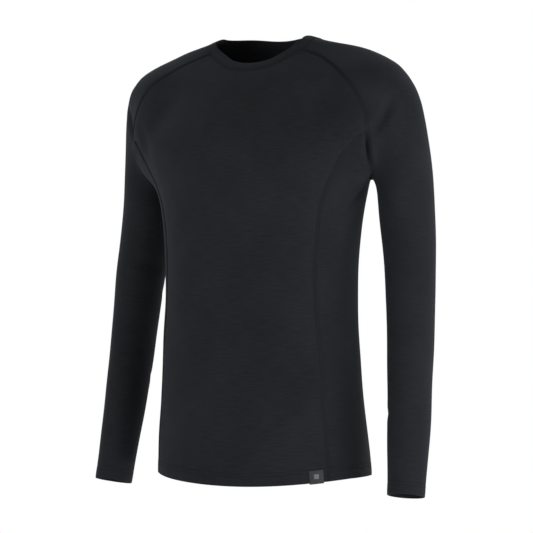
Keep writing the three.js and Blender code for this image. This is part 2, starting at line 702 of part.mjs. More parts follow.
// The label is a short strip that is folded over the hem of the front and is sewn down on both sides. over is the
// distance up from the hem's edge and out is the distance from the outer face of the front.
const LABEL = { left: 31, right: 9, height: 19, inside: 9, thickness: 0.7, clear: 0.3 };
function hemLabel(front) {
  const corner = front.outer[0][0];
  const underside = -HEM_WALL - 0.45;
  const section = [
    { over: LABEL.height, out: LABEL.clear },
    { over: LABEL.height, out: LABEL.clear + LABEL.thickness },
    { over: -LABEL.clear, out: LABEL.clear + LABEL.thickness },
    { over: -LABEL.clear - LABEL.thickness, out: LABEL.clear },
    { over: -LABEL.clear - LABEL.thickness, out: underside },
    { over: -LABEL.clear, out: underside - LABEL.thickness },
    { over: LABEL.inside, out: underside - LABEL.thickness },
    { over: LABEL.inside, out: underside },
    { over: -LABEL.clear, out: underside },
    { over: -LABEL.clear, out: LABEL.clear },
  ];
  const columns = evenly(4).map((share) => {
    const distance = THREE.MathUtils.lerp(LABEL.right, LABEL.left, share);
    let i = 0;
    let left = distance;
    while (left > front.outer[0][i].distanceTo(front.outer[0][i + 1])) {
      left -= front.outer[0][i].distanceTo(front.outer[0][i + 1]);
      i++;
    }
    const s = left / front.outer[0][i].distanceTo(front.outer[0][i + 1]);
    const low = front.outer[0][i].clone().lerp(front.outer[0][i + 1], s);
    const high = front.outer[1][i].clone().lerp(front.outer[1][i + 1], s);
    const out = front.normals[0][i].clone().lerp(front.normals[0][i + 1], s).normalize();
    const up = high.sub(low).normalize();
    return section.map((row) => low.clone().addScaledVector(up, row.over).addScaledVector(out, row.out));
  });
  const outline = section.map(({ over, out }) => new THREE.Vector2(out, over));
  return stripMesh("hem_label", columns, outline);
}

const left = seamsOf(1);
const right = seamsOf(-1);

// The top edge of the front or of the back runs from the left side seam up the raglan seam, along the neck seam
// and down again on the right.
function topEdge(leftRaglan, rightRaglan, from, to, halfCount) {
  const up = leftRaglan.slice(0, COUNTS.raglan + 1).reverse();
  const down = rightRaglan.slice(0, COUNTS.raglan + 1);
  return [...up, ...neckEdge(from, to, 2 * halfCount).slice(1, -1), ...down];
}

const frontTop = topEdge(left.frontRaglan, right.frontRaglan, RAGLAN_FRONT_DEG, -RAGLAN_FRONT_DEG, COUNTS.halfFrontNeck);
const backTop = topEdge(left.backRaglan, right.backRaglan, RAGLAN_BACK_DEG, 360 - RAGLAN_BACK_DEG, COUNTS.halfBackNeck);
const frontHem = hemEdge(left.front[0], right.front[0], frontTop.length - 1);
const backHem = hemEdge(left.back[0], right.back[0], backTop.length - 1);
const front = panelWall("front", panelGrid(frontHem, frontTop, left.front, right.front));
const back = panelWall("back", panelGrid(backHem, backTop, left.back, right.back));

function sidePanel(name, seams) {
  const top = [...seams.frontRaglan.slice(COUNTS.raglan), ...seams.backRaglan.slice(COUNTS.raglan, -1).reverse()];
  const hem = hemEdge(seams.front[0], seams.back[0], top.length - 1);
  return panelWall(name, panelGrid(hem, top, seams.front, seams.back)).mesh;
}

const garment = new THREE.Group();
garment.name = "base_layer_top";
garment.add(
  front.mesh,
  back.mesh,
  sidePanel("side_panel_left", left),
  sidePanel("side_panel_right", right),
  sleeveWall("sleeve_left", sleeveGrid(1, left)),
  sleeveWall("sleeve_right", sleeveGrid(-1, right)),
  neckband(),
  hemLabel(front),
);
export default garment;
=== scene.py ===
"""A long-sleeved base layer top in fine black knit, filled out as worn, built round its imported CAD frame.

Lengths are in millimetres until a mesh is made, which turns them into metres. The front faces -Y, the wearer's
left is +X and +Z is up. The sections follow the garment as it is put together: the knit and the front, the back,
the side panels, the sleeves, the neckband, the seams, the hems and the label, and then the studio.
"""

import bpy
import numpy as np
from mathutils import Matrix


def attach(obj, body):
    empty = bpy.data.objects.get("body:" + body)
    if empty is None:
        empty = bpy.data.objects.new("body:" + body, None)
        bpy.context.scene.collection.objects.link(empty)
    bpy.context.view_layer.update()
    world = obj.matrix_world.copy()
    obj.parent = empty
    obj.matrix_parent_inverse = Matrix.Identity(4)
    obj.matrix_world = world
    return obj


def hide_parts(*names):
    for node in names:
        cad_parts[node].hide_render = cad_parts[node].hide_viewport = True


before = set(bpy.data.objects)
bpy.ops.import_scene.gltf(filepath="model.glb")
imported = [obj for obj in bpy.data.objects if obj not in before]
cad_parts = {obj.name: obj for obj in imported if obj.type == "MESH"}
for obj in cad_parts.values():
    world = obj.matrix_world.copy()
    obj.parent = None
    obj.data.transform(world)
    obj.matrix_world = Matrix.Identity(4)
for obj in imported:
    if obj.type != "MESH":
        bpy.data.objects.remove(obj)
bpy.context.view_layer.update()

# THE KNIT. A fine-gauge single jersey in merino, dyed near black: rows of small V-shaped stitches, a soft fuzz
# that catches the light at the edges of the form, and faint streaks along the rows where the yarn varies.


def linear(hex_colour):
    """An sRGB hex colour as linear RGBA: each channel over 255, undone from the sRGB curve."""
    srgb = np.array([int(hex_colour[i : i + 2], 16) for i in (1, 3, 5)]) / 255
    low = srgb <= 0.04045
    return (*np.where(low, srgb / 12.92, ((srgb + 0.055) / 1.055) ** 2.4).tolist(), 1.0)


def add_node(material, kind, inputs=None, **settings):
    """Adds a node, sets its settings, and gives each input a value or a link from another node's output."""
    node = material.node_tree.nodes.new(kind)
    for name, value in settings.items():
        setattr(node, name, value)
    for socket, value in (inputs or {}).items():
        if isinstance(value, bpy.types.NodeSocket):
            material.node_tree.links.new(value, node.inputs[socket])
        else:
            node.inputs[socket].default_value = value
    return node


def new_material(name):
    """An empty node material with its output node."""
    material = bpy.data.materials.new(name)
    material.use_nodes = True
    material.node_tree.nodes.clear()
    return material, add_node(material, "ShaderNodeOutputMaterial")


def maths(material, operation, a, b=0.0):
    """One Math node's result."""
    return add_node(material, "ShaderNodeMath", {0: a, 1: b}, operation=operation).outputs[0]


def weighted(material, a, a_weight, b, b_weight):
    """The sum of two values, each times its weight."""
    return maths(
        material, "ADD", maths(material, "MULTIPLY", a, a_weight), maths(material, "MULTIPLY", b, b_weight)
    )


STITCH_WIDTH = 1.0  # mm; the real wales are about 0.7, drawn a little coarser so that they show close up
STITCH_HEIGHT = 0.8  # mm; the real courses are about 0.5
STREAK_HEIGHT = 1.7  # mm; streaks of a single course would be too fine for the picture
STREAK_LENGTH = 26  # mm
STITCH_LEAN = 1.1  # how far a course bends up at a wale's edges, in courses for each wale


def knit_material(name, dark, light):
    """Single jersey. Reads the piece's own UV map in metres: u runs along a course and v along a wale.

    The stitch pattern is the sum of a ridge along each wale and a wave along the course that is bent into a V
    by the distance from the wale's middle. Streaks are noise stretched along the course. The stitch pattern also
    tints the colour as painted shade, darker in its furrows and lighter on its crowns.
    """
    material, output = new_material(name)
    uv = add_node(material, "ShaderNodeUVMap", uv_map="cloth").outputs[0]
    split = add_node(material, "ShaderNodeSeparateXYZ", {0: uv})
    u, v = split.outputs[0], split.outputs[1]
    across_wales = maths(material, "MULTIPLY", u, 1000 / STITCH_WIDTH)
    side = maths(material, "PINGPONG", across_wales, 0.5)
    ridge = maths(material, "SINE", maths(material, "MULTIPLY", side, 2 * np.pi), 0)
    up_courses = maths(material, "MULTIPLY", v, 1000 / STITCH_HEIGHT)
    bent = maths(material, "ADD", up_courses, maths(material, "MULTIPLY", side, STITCH_LEAN))
    course = maths(material, "SINE", maths(material, "MULTIPLY", bent, 2 * np.pi), 0)
    stitches = weighted(material, ridge, 0.6, course, 0.4)
    along_streak = maths(material, "MULTIPLY", u, 1000 / STREAK_LENGTH)
    across_streak = maths(material, "MULTIPLY", v, 1000 / STREAK_HEIGHT)
    streak_place = add_node(material, "ShaderNodeCombineXYZ", {0: along_streak, 1: across_streak}).outputs[0]
    streaks = add_node(
        material, "ShaderNodeTexNoise", {"Vector": streak_place, "Scale": 1.0, "Detail": 3.0, "Roughness": 0.6}
    ).outputs["Fac"]
    clouds = add_node(material, "ShaderNodeTexNoise", {"Vector": uv, "Scale": 9.0, "Detail": 2.0}).outputs["Fac"]
    uneven = weighted(material, streaks, 0.7, clouds, 0.3)
    shade = add_node(material, "ShaderNodeMapRange", {0: uneven, 1: 0.33, 2: 0.67}).outputs[0]
    # Painted shade: the stitches' height also tints the colour, darker in their furrows and lighter on their crowns.
    shade = maths(material, "ADD", shade, maths(material, "MULTIPLY", stitches, 0.12))
    colour = add_node(
        material, "ShaderNodeMix", {"Factor": shade, "A": linear(dark), "B": linear(light)}, data_type="RGBA"
    )
    fuzz = add_node(material, "ShaderNodeTexNoise", {"Vector": uv, "Scale": 2600.0, "Detail": 1.0}).outputs["Fac"]
    height = maths(material, "ADD", stitches, maths(material, "ADD", fuzz, maths(material, "MULTIPLY", streaks, 0.8)))
    bump = add_node(material, "ShaderNodeBump", {"Strength": 0.35, "Distance": 0.0002, "Height": height}).outputs[0]
    roughness = add_node(material, "ShaderNodeMapRange", {0: streaks, 1: 0.3, 2: 0.7, 3: 0.78, 4: 0.9}).outputs[0]
    shader = add_node(
        material,
        "ShaderNodeBsdfPrincipled",
        {
            "Base Color": colour.outputs["Result"],
            "Roughness": roughness,
            "Normal": bump,
            "Sheen Weight": 0.07,
            "Sheen Roughness": 0.45,
            "Sheen Tint": linear("#c9d3e6"),
            "Specular IOR Level": 0.14,
        },
    )
    material.node_tree.links.new(shader.outputs[0], output.inputs[0])
    return material


jersey = knit_material("merino_jersey_black", "#0e0f11", "#1f2024")

# THE FRONT. One panel of jersey, cut with a curved neck and two raglan edges and with its hem turned up inside.
# All the cloth lies on one smooth form: oval level sections of the trunk and of the arms, run into each other.
# These tables are the same as the solids' own, and each seam's points lie near that form.

# Level sections of the trunk: height, half width, front, back, and the power of the oval (2 is an ellipse).
TRUNK = np.array([
    (-760, 180, -124, 120, 2.3),
    (-640, 175.5, -118, 113.5, 2.35),
    (-560, 169, -118.5, 104, 2.37),
    (-440, 162.5, -114, 93, 2.35),
    (-330, 163, -113, 96, 2.25),
    (-225, 178, -121, 104.5, 2.28),
    (-150, 189.5, -120.5, 103, 2.5),
    (-90, 188, -87.5, 105, 2.3),
    (-45, 199.5, -55, 86.5, 2.5),
    (-20, 172.5, -35, 79.5, 2.25),
    (-5, 137, -30, 70.5, 2.2),
    (5, 104.5, -34, 65, 2.1),
    (20, 64.5, -28, 59, 2.05),
    (60, 62, -22, 58, 2),
])
# Level sections of the arm: height, x and y of the middle, half width and half depth.
ARM = np.array([
    (-800, 270, -52, 26, 30),
    (-720, 267.5, -34, 28, 32.5),
    (-560, 259.5, -3, 31.5, 42),
    (-430, 252.5, 17, 34.5, 46.5),
    (-340, 246, 26, 39.5, 46),
    (-260, 237, 33, 41.5, 50.5),
    (-170, 224, 31, 47, 56.5),
    (-110, 207.5, 23.5, 57.5, 55),
    (-60, 214.5, 16, 37.5, 58),
])
ARM_CAP_START = -98.7
ARM_CAP_HEIGHT = 54.2
BLEND_WIDTH = {"shoulder": 103.5, "armpit": 37.3}  # how widely arm and trunk run into each other
BLEND_HEIGHT = {"shoulder": -60, "armpit": -150}
# The fullness in front of the armpit, where the cloth runs straight from the chest to the arm: an egg shape.
CHEST_SIDE = np.array([177, -30.5, -135.3])
CHEST_SIDE_RADII = np.array([40.8, 36.5, 74.2])
CHEST_SIDE_BLEND = 47.4
TABLE_STEP = 0.25  # mm of height between the values kept of a spline


def smooth_column(rows, column):
    """A natural cubic spline through one column of a table against height. Gives value and slope at heights."""
    z, v = rows[:, 0], rows[:, column]
    step = np.diff(z)
    matrix, right = np.eye(len(z)), np.zeros(len(z))
    for i in range(1, len(z) - 1):
        matrix[i, i - 1 : i + 2] = step[i - 1], 2 * (step[i - 1] + step[i]), step[i]
        right[i] = 6 * ((v[i + 1] - v[i]) / step[i] - (v[i] - v[i - 1]) / step[i - 1])
    second = np.linalg.solve(matrix, right)
    at = np.arange(z[0], z[-1] + TABLE_STEP, TABLE_STEP)
    i = np.clip(np.searchsorted(z, at) - 1, 0, len(z) - 2)
    a = (z[i + 1] - at) / step[i]
    b = 1 - a
    value = a * v[i] + b * v[i + 1] + ((a**3 - a) * second[i] + (b**3 - b) * second[i + 1]) * step[i] ** 2 / 6
    slope = np.gradient(value, at)
    return lambda height: (np.interp(height, at, value), np.interp(height, at, slope))


trunk_width, trunk_front, trunk_back, trunk_power = [smooth_column(TRUNK, i) for i in (1, 2, 3, 4)]
arm_x, arm_y, arm_width, arm_depth = [smooth_column(ARM, i) for i in (1, 2, 3, 4)]


def outside_trunk(p):
    """How far points are outside the trunk: (q - 1) over the slope of q, where q is 1 on the oval section."""
    x, y, z = p[..., 0], p[..., 1], p[..., 2]
    (a, a_slope), (front, front_slope), (back, back_slope) = trunk_width(z), trunk_front(z), trunk_back(z)
    n = trunk_power(z)[0]
    b, b_slope = (back - front) / 2, (back_slope - front_slope) / 2
    middle_slope = (back_slope + front_slope) / 2
    dy = y - (back + front) / 2
    u, w = np.maximum(np.abs(x) / a, 1e-6), np.maximum(np.abs(dy) / b, 1e-6)
    q = np.maximum((u**n + w**n) ** (1 / n), 0.02)
    qx, qy = (u / q) ** (n - 1) / a, (w / q) ** (n - 1) / b
    qz = -qx * u * a_slope - qy * w * b_slope - qy * np.sign(dy) * middle_slope
    return (q - 1) / np.sqrt(qx**2 + qy**2 + qz**2)


def outside_arm(p):
    """The same for the nearer arm, a tube of oval level sections with a rounded top."""
    x, y, z = p[..., 0], p[..., 1], p[..., 2]
    (mx, mx_slope), (my, my_slope) = arm_x(z), arm_y(z)
    (a, a_slope), (b, b_slope) = arm_width(z), arm_depth(z)
    dx, dy = (np.abs(x) - mx) / a, (y - my) / b
    dz = np.maximum(z - ARM_CAP_START, 0) / ARM_CAP_HEIGHT
    q = np.maximum(np.sqrt(dx**2 + dy**2 + dz**2), 0.02)
    qx, qy = dx / a / q, dy / b / q
    qz = dz / ARM_CAP_HEIGHT / q - qx * mx_slope - qy * my_slope
    qz = qz - dx**2 * a_slope / a / q - dy**2 * b_slope / b / q
    return (q - 1) / np.sqrt(qx**2 + qy**2 + qz**2)


def smoothstep(x, low, high):
    """0 below low, 1 above high, and 3t^2 - 2t^3 between them."""
    t = np.clip((x - low) / (high - low), 0, 1)
    return t * t * (3 - 2 * t)


def outside_chest_side(p):
    """The same for the egg shape in front of the nearer armpit."""
    d = (p * np.where(p < 0, [-1, 1, 1], 1) - CHEST_SIDE) / CHEST_SIDE_RADII
    q = np.maximum(np.linalg.norm(d, axis=-1), 0.02)
    return (q - 1) * q / np.maximum(np.linalg.norm(d / CHEST_SIDE_RADII, axis=-1), 1e-6)


def run_together(a, b, k):
    """The lesser of two distances, rounded off by a cubic where they differ by less than k."""
    alike = np.maximum(k - np.abs(a - b), 0) / k
    return np.minimum(a, b) - alike**3 * k / 6


def outside(p):
    """How far points are outside the cloth: trunk, arm and the fullness beside the chest, run together."""
    s = smoothstep(p[..., 2], BLEND_HEIGHT["armpit"], BLEND_HEIGHT["shoulder"])
    k = BLEND_WIDTH["armpit"] + (BLEND_WIDTH["shoulder"] - BLEND_WIDTH["armpit"]) * s
    trunk_and_arm = run_together(outside_trunk(p), outside_arm(p), k)
    return run_together(trunk_and_arm, outside_chest_side(p), CHEST_SIDE_BLEND)


def unit(v):
    """Vectors at length one."""
    return v / np.maximum(np.linalg.norm(v, axis=-1, keepdims=True), 1e-9)


def slope_at(p, step=0.4):
    """The slope of outside() by central differences along the three axes."""
    shifts = np.eye(3) * step
    return np.stack([outside(p + s) - outside(p - s) for s in shifts], -1) / (2 * step)


def on_form(p, steps=9):
    """Draws points on to the form by Newton steps along the slope."""
    for _ in range(steps):
        slope = slope_at(p)
        way = outside(p) / np.maximum((slope**2).sum(-1), 0.05)
        p = p - slope * np.clip(way, -12, 12)[..., None]
    return p


# Creases, as troughs with a low ridge on both sides. side is the wearer's left (1), right (-1) or both (0).
# The points are for the left half and lie near the form. A trough runs through its three points and is deepest
# near its middle.
CREASES = [
    # Side, depth, width and points. First those round the armpits and down the front of the arms.
    (0, 5.0, 11, ((218, -46, -150), (232, -34, -118), (242, -22, -84))),
    (0, 8.5, 6.5, ((215, -53, -137), (207, -45, -166), (198, -29, -194))),
    (1, 2.0, 11, ((212, -54, -138), (199, -62, -158), (183, -70, -178))),
    (-1, 2.0, 12, ((199, -61, -109), (181, -76, -142), (158, -89, -171))),
    (0, 3.0, 13, ((206, 82, -160), (225, 76, -128), (244, 70, -96))),
    (-1, 3.0, 12, ((208, 26, -352), (222, -2, -344), (240, -20, -334))),
    (-1, 2.0, 10, ((229, 20, -485), (238, -22, -485), (253, -46, -484))),
    (1, 2.0, 11, ((230, -20, -438), (245, -27, -444), (262, -28, -450))),
    # Below the armpit, on the side panels and the back.
    (1, 1.6, 9, ((172, 4, -222), (162, -18, -240), (156, -40, -268))),
    (-1, 1.4, 8, ((174, 8, -220), (164, -10, -244), (158, -30, -262))),
    (0, 1.8, 11, ((170, 40, -214), (158, 66, -232), (138, 88, -262))),
    # At the bend of the elbow and down the forearm.
    (1, 1.3, 9, ((224, 44, -372), (240, 62, -380), (262, 66, -378))),
    (1, 1.0, 8, ((228, 34, -412), (246, 54, -424), (268, 52, -430))),
    (-1, 1.6, 10, ((222, 40, -386), (240, 60, -396), (262, 62, -404))),
    (-1, 1.1, 9, ((232, 20, -520), (250, 32, -530), (270, 30, -528))),
    (1, 1.2, 9, ((228, 6, -560), (240, -22, -572), (262, -34, -580))),
    (-1, 1.0, 8, ((238, -20, -606), (254, -42, -614), (272, -44, -612))),
    # Soft drags across the back, where it bridges the hollow above the hips.
    (1, 1.8, 17, ((20, 92, -452), (70, 90, -440), (126, 66, -416))),
    (-1, 2.0, 18, ((10, 92, -424), (64, 90, -436), (118, 72, -462))),
    (1, 1.2, 14, ((14, 96, -508), (58, 96, -500), (104, 82, -486))),
    (-1, 1.3, 15, ((12, 100, -540), (66, 98, -548), (110, 84, -566))),
    # Soft drags on the front, from the chest to the side seams.
    (1, 0.9, 20, ((58, -128, -262), (92, -116, -300), (126, -94, -344))),
    (-1, 1.0, 22, ((50, -130, -250), (90, -118, -292), (130, -90, -350))),
    (-1, 0.8, 18, ((70, -112, -470), (104, -102, -500), (134, -86, -540))),
]
# Slow waves of loose cloth: length in mm, direction, offset in turns and height in mm.
WAVES = [
    (150, (0.9, 0.2, 0.4), 0.1, 0.45),
    (118, (0.3, -0.5, 0.8), 0.63, 0.35),
    (92, (-0.7, 0.4, 0.6), 0.32, 0.28),
    (74, (0.5, 0.8, -0.3), 0.85, 0.2),
    (53, (0.8, -0.1, 0.6), 0.47, 0.12),
]


def crease_path(points):
    """The parabola through three points, drawn on to the form, as 25 points with their shares of the way."""
    a, b, c = (np.array(point, float) for point in points)
    t = np.linspace(0, 1, 25)[:, None]
    return on_form(a * (1 - t) * (1 - 2 * t) + b * 4 * t * (1 - t) + c * t * (2 * t - 1)), t[:, 0]


crease_paths = [(side, depth, width, *crease_path(points)) for side, depth, width, points in CREASES]


def relief(p):
    """How far creases and waves raise the cloth at points on the form, in mm.

    A crease is -depth (1 - r) exp(-r), where r is the squared distance from its path over its width, times a
    sine along it. A wave is a sine of the distance along its direction.
    """
    height = np.zeros(p.shape[:-1])
    for side, depth, width, path, t in crease_paths:
        half = p * [1 if side >= 0 else -1, 1, 1]
        if side == 0:
            half = p * np.where(p < 0, [-1, 1, 1], 1)
        near = np.all((half > path.min(0) - 3 * width) & (half < path.max(0) + 3 * width), axis=-1)
        if not near.any():
            continue
        away = ((half[near][:, None, :] - path) ** 2).sum(-1)
        nearest = away.argmin(-1)
        r = away[np.arange(len(away)), nearest] / width**2
        height[near] -= depth * np.sin(np.pi * (t[nearest] * 0.9 + 0.05)) * (1 - r) * np.exp(-r)
    for length, direction, offset, rise in WAVES:
        along = p @ (np.array(direction) / np.linalg.norm(direction))
        height += rise * np.sin(2 * np.pi * (along / length + offset))
    return height


def on_cloth(p):
    """Points on the outer face of the cloth, creases and all, with the form's normals there."""
    base = on_form(p)
    normal = unit(slope_at(base))
    return base + normal * relief(base)[..., None], normal


def at_shares(line, shares):
    """Points at shares of the length of a line of close points."""
    run = np.concatenate([[0], np.cumsum(np.linalg.norm(np.diff(line, axis=0), axis=1))])
    if callable(shares):
        shares = shares(run[-1])
    return np.stack([np.interp(np.asarray(shares) * run[-1], run, line[:, k]) for k in range(3)], -1)


def curve_through(points):
    """A centripetal Catmull-Rom curve as a line of close points.

    Each stretch is the cubic between its two points whose end slopes weigh the neighbours by the square root of
    their distance.
    """
    p = np.array(points, float)
    p = np.vstack([2 * p[0] - p[1], p, 2 * p[-1] - p[-2]])
    root = np.sqrt(np.linalg.norm(np.diff(p, axis=0), axis=1))
    s = np.linspace(0, 1, 40, endpoint=False)[:, None]
    line = []
    for i in range(1, len(p) - 2):
        d0, d1, d2 = root[i - 1 : i + 2]
        chord = p[i + 1] - p[i]
        start = ((p[i] - p[i - 1]) / d0 - (p[i + 1] - p[i - 1]) / (d0 + d1) + chord / d1) * d1
        end = (chord / d1 - (p[i + 2] - p[i]) / (d1 + d2) + (p[i + 2] - p[i + 1]) / d2) * d1
        line.append(p[i] + start * s + (3 * chord - 2 * start - end) * s**2 + (start + end - 2 * chord) * s**3)
    return np.vstack([*line, p[-2]])


def first_exit(field, start, direction, reach=320.0, step=5.0):
    """Where rays that start inside a field first come out: steps outwards, and then halving."""
    far = np.full(start.shape[:-1], step)
    for _ in range(int(reach / step)):
        far = np.where(field(start + direction * far[..., None]) < 0, far + step, far)
    near = far - step
    for _ in range(14):
        middle = (near + far) / 2
        inside = field(start + direction * middle[..., None]) < 0
        near, far = np.where(inside, middle, near), np.where(inside, far, middle)
    return start + direction * near[..., None]


NECK_MIDDLE_Y = 15
# Heights of the neck seam, by the angle in degrees round the neck's middle from the middle of the front.
NECK_SEAM = np.array([
    (-25, -37), (0, -40), (25, -37), (38, -32), (48, -25.5), (58, -17.5), (65, -9), (70, -0.5),
    (76, 6), (90, 9), (120, 7), (150, 2.5), (180, 0.5), (210, 2.5),
])
RAGLAN_FRONT_DEG = 65  # where the raglan seams meet the neck seam, by that angle
RAGLAN_BACK_DEG = 122
HEM_SIDE_Z = -675
HEM_DIP = 13
HEM_HALF_WIDTH = 174
UNDERARM = (187, 16, -212)
RAGLAN_FRONT = [
    (112, -29, -17), (140, -38, -32), (173, -56, -54), (194, -57, -78), (203, -55, -97),
    (210, -52, -117), (213, -53, -137), (210, -48, -155), (205, -38, -174), (199, -24, -191),
    (193, -8, -204), (188, 6, -211),
]
RAGLAN_BACK = [
    (106, 68, -14), (130, 77, -32), (152, 85, -58), (168, 86, -88), (178, 80, -112),
    (180, 71, -135), (178, 61, -155), (177, 50, -173), (179, 39, -190), (183, 28, -203),
]
SIDE_FRONT = [
    (200, -62, -152), (194, -65, -161), (179, -71, -179), (156, -73, -220), (143, -73, -254),
    (137, -73, -290), (134, -74, -345), (135, -74, -409), (140, -73, -462), (145, -72, -517),
    (148, -72, -573), (152, -70, -628),
]
SIDE_BACK = [
    (172, 62, -150), (163, 55, -168), (157, 52, -200), (152, 51, -240), (146, 52, -300),
    (144, 53, -390), (145, 55, -480), (150, 60, -580),
]
SIDE_HEM = {"front": (155, -68), "back": (156, 64)}

HEM_DEPTH = 22  # height of the turned hem of the trunk
HEM_ROWS = np.array([  # heights above the hem's edge of the mesh's lowest rows
    0, 0.15, 0.45, 0.9, 2.2, 4.2, 6.5, 9, 11.5, 13.6, 15.4, 17.2, 19, 21, 21.8, 22.3, 23.4, 25,
])
HEM_STITCHES = (15.4, 21.0)  # heights of the two rows of coverstitch
COUNTS = {  # faces along each stretch of the cloth
    "body": 118, "raglan": 54, "underarm": 27, "half_neck": 24, "shoulder_neck": 28, "arm": 96, "shoulder": 74,
}

neck_height = smooth_column(NECK_SEAM, 1)


def neck_seam(degrees):
    """Points of the neck seam by their angle: where a level ray at the seam's height leaves the trunk."""
    a = np.radians(degrees)
    height = neck_height(np.abs((np.asarray(degrees) + 180) % 360 - 180))[0]
    start = np.stack([0 * a, 0 * a + NECK_MIDDLE_Y, height], -1)
    return on_form(first_exit(outside_trunk, start, np.stack([np.sin(a), -np.cos(a), 0 * a], -1)))


def on_hem(p):
    """Points drawn on to the form at the height of the hem, which is lower at the middle of front and back."""
    lower = HEM_DIP * np.maximum(0, 1 - (p[..., 0] / HEM_HALF_WIDTH) ** 2)
    return on_form(np.stack([p[..., 0], p[..., 1], HEM_SIDE_Z - lower], -1))


def closer_above(share):
    """Rows of a panel get closer towards the armholes."""
    return 1 - (1 - share) ** 1.25


def side_rows(length):
    """Shares of a side seam for the rows of its panels: those of the hem, and the free ones above."""
    start = HEM_ROWS[-1] / length
    free = start + (1 - start) * closer_above(np.arange(1, COUNTS["body"] + 1) / COUNTS["body"])
    return np.concatenate([HEM_ROWS / length, free])


def seams_of(side):
    """The seams of one half: raglans from the neck to the underarm, side seams from the hem to the raglans."""
    mirror = np.array([side, 1, 1])
    underarm = on_form(np.array(UNDERARM) * mirror)
    seams = {}
    steps = np.linspace(0, 1, COUNTS["raglan"] + COUNTS["underarm"] + 1)
    raglans = (("front", RAGLAN_FRONT_DEG, RAGLAN_FRONT), ("back", RAGLAN_BACK_DEG, RAGLAN_BACK))
    for name, degrees, points in raglans:
        top = neck_seam(np.array([side * degrees]))
        line = curve_through(np.vstack([top, np.array(points) * mirror, underarm[None]]))
        seams["raglan_" + name] = on_form(at_shares(line, steps))
    for name, points in (("front", SIDE_FRONT), ("back", SIDE_BACK)):
        x, y = SIDE_HEM[name]
        bottom = on_hem(np.array([side * x, y, 0.0]))
        top = seams["raglan_" + name][COUNTS["raglan"]]
        line = curve_through(np.vstack([bottom[None], (np.array(points) * mirror)[::-1], top[None]]))
        seams["side_" + name] = on_form(at_shares(line, side_rows))
    return seams


def hem_edge(start, end, count):
    """Evenly turned points of the hem between two of its points."""
    ends = np.stack([start, end])
    angle = np.degrees(np.arctan2(ends[:, 0], NECK_MIDDLE_Y - ends[:, 1]))
    turn = (angle[1] - angle[0] + 180) % 360 - 180
    a = np.radians(angle[0] + turn * np.linspace(0, 1, count + 1))
    middle = np.stack([0 * a, 0 * a + NECK_MIDDLE_Y, 0 * a + HEM_SIDE_Z], -1)
    points = on_hem(first_exit(outside_trunk, middle, np.stack([np.sin(a), -np.cos(a), 0 * a], -1)))
    points[0], points[-1] = start, end
    return points


def panel_grid(bottom, top, left, right):
    """Rows of points on the form between four edges.

    The rows of the hem keep their distance from the bottom edge. The others are a Coons patch: the blend of the
    two ends plus the blend of the two sides, less the blend of the corners.
    """
    u = np.linspace(0, 1, len(bottom))[:, None]
    hem = len(HEM_ROWS)
    lift = (left[:hem] - left[0])[:, None] * (1 - u) + (right[:hem] - right[0])[:, None] * u
    low = on_form(bottom + lift)
    low[0] = bottom
    low[:, 0], low[:, -1] = left[:hem], right[:hem]
    start = low[-1]
    v = closer_above(np.arange(1, COUNTS["body"] + 1) / COUNTS["body"])[:, None, None]
    ends = start * (1 - v) + top * v
    sides = left[hem:, None] * (1 - u) + right[hem:, None] * u
    corners = (start[0] * (1 - u) + start[-1] * u) * (1 - v) + (top[0] * (1 - u) + top[-1] * u) * v
    free = on_form(ends + sides - corners)
    free[:, 0], free[:, -1], free[-1] = left[hem:], right[hem:], top
    return np.concatenate([low, free])


CLOTH = 0.8  # mm; thickness of the knit
HEM_CLOTH = 1.7  # thickness where it is turned up
SHARP_EDGE = np.radians(62)  # edges that turn more than this are shaded sharp


def hem_shape(above, depth, stitches):
    """How far a hem's outer face lies in, its thickness and the depth of its round edge, by height above it.

    The edge is a half round of the hem's own thickness, and stitches press the cloth in.
    """
    radius = HEM_CLOTH / 2
    round_in = radius * (1 - np.sqrt(np.clip(1 - (1 - np.minimum(above / radius, 1)) ** 2, 0, 1))) * 0.97
    pressed = sum(0.32 * np.exp(-(((above - height) / 1.3) ** 2)) for height in stitches)
    puffed = 0.35 * np.sin(np.pi * np.clip(above / depth, 0, 1)) ** 0.5
    thick = CLOTH + (HEM_CLOTH - CLOTH) * (1 - smoothstep(above, depth - 0.4, depth + 0.2))
    return round_in + pressed - puffed, thick, round_in


def wall_faces(rows, cols, closed):
    """Faces of a wall of two grids, and the same corners counted on a grid with its first column again at its end.

    Each corner is layer, row and column. Both grids' faces come first, then the two end rows and the open sides.
    """
    columns = cols if closed else cols - 1
    r, c = [k.ravel() for k in np.meshgrid(np.arange(rows - 1), np.arange(columns), indexing="ij")]
    quads = [((0, r, c), (0, r, c + 1), (0, r + 1, c + 1), (0, r + 1, c))]
    quads.append(((1, r, c + 1), (1, r, c), (1, r + 1, c), (1, r + 1, c + 1)))
    c, last = np.arange(columns), np.full(columns, rows - 1)
    quads.append(((0, 0 * c, c + 1), (0, 0 * c, c), (1, 0 * c, c), (1, 0 * c, c + 1)))
    quads.append(((0, last, c), (0, last, c + 1), (1, last, c + 1), (1, last, c)))
    if not closed:
        r, last = np.arange(rows - 1), np.full(rows - 1, columns)
        quads.append(((0, r, 0 * r), (0, r + 1, 0 * r), (1, r + 1, 0 * r), (1, r, 0 * r)))
        quads.append(((0, r + 1, last), (0, r, last), (1, r, last), (1, r + 1, last)))
    faces = np.concatenate([np.stack([k * rows * cols + i * cols + j % cols for k, i, j in q], -1) for q in quads])
    corners = np.concatenate([np.stack([i * (columns + 1) + j for _, i, j in q], -1) for q in quads])
    return faces, corners


